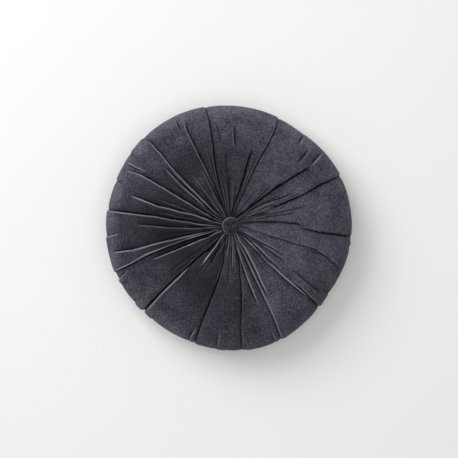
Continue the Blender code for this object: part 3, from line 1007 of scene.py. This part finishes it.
def makeInsertSeam():
    angles = np.arange(0, 360, 3.0)
    radius = rimRadius + outlineAt(angles) - insert["inset"] + insert["stitch"]
    spin = np.radians(angles)
    points = [(r * math.cos(a), r * math.sin(a), form["rimHeight"]) for r, a in zip(radius, spin)]
    return addThread("insertSeamThread", points, insert["stitch"], sewingThread, closed=True)


def makeTwine():
    # closed loop of twine round both eyes
    low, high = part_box("tufting_twine")
    thickness = high[0] - low[0]
    half = (high[1] - low[1]) / 2 - thickness / 2
    points = []
    for middle, start in ((high[2] - thickness / 2 - half, 0), (low[2] + thickness / 2 + half, math.pi)):
        for step in range(13):
            turn = start + math.pi * step / 12
            points.append((0, half * math.cos(turn), middle + half * math.sin(turn)))
    return addThread("tuftingTwine", points, thickness, twineThread, closed=True)


pressWithSeat(makePanel("insertTopPanel", True), "insert_top_panel")
pressWithSeat(makePanel("insertBottomPanel", False), "insert_bottom_panel")
filling = makeFilling()
pressWithSeat(filling, "fibre_filling")
pressWithSeat(makeInsertSeam(), "insert_seam_thread")
pressWithSeat(makeCoverSeam(), "cover_seam_thread")
pressWithSeat(makeTwine(), "tufting_twine")
print("insert made")


button = {
    "columns": 96,
    "rings": 48,
    "ends": (0.6, 0.74, 0.84),  # share of the rings at which its dome, its side and its hem end
    "domePower": 2.25,
    "sideHeight": 0.0034,
    "hem": 0.0012,  # rounding of the lower edge
    "toneAndPaintedLight": 0.38,
    "paintedEdgeHighlight": 0.6,
    "highlightPlace": (0.52, 0.09),  # share of the rings where the painted highlight lies on its edge, and how wide
    "litSide": 150.0,  # degrees, the side towards the light where that highlight is strongest
    "puckers": 17,
    "pucker": 0.00022,
    "puckered": (0.5, 0.72),  # share of the rings over which the puckers rise
    "weaveDown": 0.3,  # how much of its height the weave runs down its side
}


def makeButton(name):
    # velvet drawn over a metal cap and turned in underneath, standing on height 0 with its dome up
    piece, ring, column = addRoundGrid(button["columns"], button["rings"])
    dome, side, hem = button["ends"]
    power, sideHeight, rounding = 2 / button["domePower"], button["sideHeight"], button["hem"]
    height = buttonHigh[2] - buttonLow[2]
    share = ring / button["rings"]

    turn = np.clip(share / dome, 0, 1) * math.pi / 2
    radius = buttonRadius * np.sin(turn) ** power
    rise = sideHeight + (height - sideHeight) * np.cos(turn).clip(0) ** power
    down = np.clip((share - dome) / (side - dome), 0, 1)
    rise = np.where(share > dome, sideHeight + (rounding - sideHeight) * down, rise)
    bend = np.clip((share - side) / (hem - side), 0, 1) * math.pi / 2
    rise = np.where(share > side, rounding * (1 - np.sin(bend)), rise)
    radius = np.where(share > side, buttonRadius - rounding * (1 - np.cos(bend)), radius)
    radius = np.where(share > hem, (buttonRadius - rounding) * (1 - (share - hem) / (1 - hem)), radius)

    spin = np.radians(column * 360 / button["columns"])
    drawn = np.sin(spin * button["puckers"] + 2 * np.sin(spin * 3)) * button["pucker"]
    radius = radius + drawn * smoothStep(*button["puckered"], share) * (radius > buttonRadius * 0.8)
    radius -= button["pucker"]
    points = np.stack([radius * np.cos(spin), radius * np.sin(spin), rise], axis=1)
    writePoints(piece, points)

    cloth = np.stack([points[:, 0], points[:, 1], points[:, 2] * button["weaveDown"]], axis=1)
    place, wide = button["highlightPlace"]
    # painted highlight on the button's edge, strongest on the side towards the light
    litShare = 0.6 + 0.4 * np.cos(spin - math.radians(button["litSide"]))
    setFloats(piece, "cloth", cloth)
    setFloats(piece, "toneAndPaintedLight", np.full(len(points), button["toneAndPaintedLight"]))
    setFloats(piece, "crest", button["paintedEdgeHighlight"] * litShare * np.exp(-(((share - place) / wide) ** 2)))
    closeOpenings(piece)
    return namePiece(name, velvet)


def placeButton(piece, height, turned):
    deselectAll()
    piece.select_set(True)
    bpy.context.view_layer.objects.active = piece
    piece.rotation_euler = (math.pi if turned else 0, 0, 0)
    piece.location = (0, 0, height)
    bpy.ops.object.transform_apply(location=True, rotation=True, scale=True)


topButton = makeButton("topButtonVelvet")
placeButton(topButton, buttonLow[2], False)
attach(topButton, "top_tuft")
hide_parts("top_button_velvet")
underButton = makeButton("bottomButtonVelvet")
placeButton(underButton, underButtonHigh[2], True)
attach(underButton, "bottom_tuft")
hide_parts("bottom_button_velvet")

for name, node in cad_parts.items():
    if name.endswith(("_cap", "_plate", "_eye")):
        finish = zinc
    elif name.endswith("_gathering_thread"):
        finish = sewingThread
    elif name == "twine_knot":
        finish = twineThread
    else:
        continue
    node.data.materials.clear()
    node.data.materials.append(finish)
print("buttons made")


studio = {
    "cameraHeight": 1.803,
    "cameraPlace": (-0.0032, -0.0049),
    "lens": 85,
    "lights": (  # place, size and watts: a soft key from the upper left and a fill from above
        ((-1.5, 1.4, 2.1), 1.9, 60),
        ((0.3, -0.2, 3.2), 2.4, 38),
    ),
    "floorSize": 40,
    "floorHeight": -0.0004,  # just clear of the velvet that rests on it
    "roomLight": 0.42,
}


def addStudio():
    deselectAll()
    bpy.ops.object.camera_add(location=(*studio["cameraPlace"], studio["cameraHeight"]), rotation=(0, 0, 0))
    camera = bpy.context.object
    camera.data.lens = studio["lens"]
    camera.data.clip_end = 20
    bpy.context.scene.camera = camera

    deselectAll()
    bpy.ops.mesh.primitive_plane_add(size=studio["floorSize"], location=(0, 0, studio["floorHeight"]))
    paper, tree, shader = startMaterial("matt paper backdrop")
    shader.inputs["Base Color"].default_value = toLinear("e5e6e6")
    shader.inputs["Roughness"].default_value = 0.9
    namePiece("studioFloor", paper)

    for place, size, energy in studio["lights"]:
        deselectAll()
        bpy.ops.object.light_add(type="AREA", location=place)
        light = bpy.context.object
        light.data.size = size
        light.data.energy = energy
        light.rotation_euler = (-Vector(place)).to_track_quat("-Z", "Y").to_euler()

    bpy.context.scene.view_settings.view_transform = "Standard"
    world = bpy.data.worlds.new("soft white room")
    bpy.context.scene.world = world
    world.use_nodes = True
    background = world.node_tree.nodes["Background"]
    background.inputs["Color"].default_value = toLinear("f8f7f0")
    background.inputs["Strength"].default_value = studio["roomLight"]


addStudio()
print("studio set")
